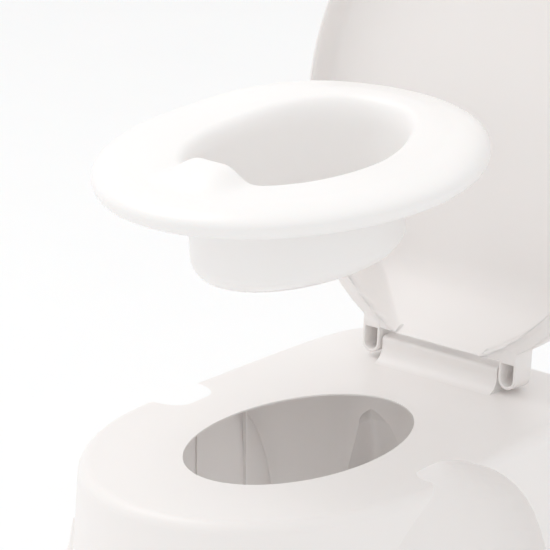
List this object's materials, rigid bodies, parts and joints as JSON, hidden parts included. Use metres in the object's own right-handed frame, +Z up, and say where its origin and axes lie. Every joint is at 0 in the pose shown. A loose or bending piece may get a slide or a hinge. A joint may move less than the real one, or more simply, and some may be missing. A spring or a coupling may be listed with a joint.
{
  "type": "potty training chair",
  "caption": "Child's potty chair with a hollow flared base, a hinged lid that stands up as a backrest, and a lift-out ring seat with a splash guard and a bowl.",
  "frame": {"origin": "centre of the bounding box's bottom face, on the floor", "axes": "+Z up, -Y the front of the seat, +X the right-hand side as seen from the front, which the node names call right"},
  "size_m": [0.278, 0.4334, 0.5625],
  "materials": {
    "base_plastic": "satin moulded white",
    "lid_plastic": "satin moulded white",
    "insert_plastic": "smooth moulded white",
    "pin_plastic": "plain moulded white",
    "foot_rubber": "soft pale grey rubber"
  },
  "bodies": {
    "base": {"base_shell": "base_plastic", "hinge_pin_left": "pin_plastic", "hinge_pin_right": "pin_plastic", "foot_front_left": "foot_rubber", "foot_back_left": "foot_rubber", "foot_front_right": "foot_rubber", "foot_back_right": "foot_rubber"},
    "lid": {"lid_shell": "lid_plastic"},
    "insert": {"potty_insert": "insert_plastic"}
  },
  "joints": [
    {"name": "lid_hinge", "type": "hinge", "parent": "base", "child": "lid", "pos_m": [0, 0.13175, 0.226], "axis": [1, 0, 0], "range_deg": [0, 15]},
    {"name": "insert_lift", "type": "slide", "parent": "base", "child": "insert", "axis": [0, 0, 1], "range_m": [-0.197, 0]}
  ]
}
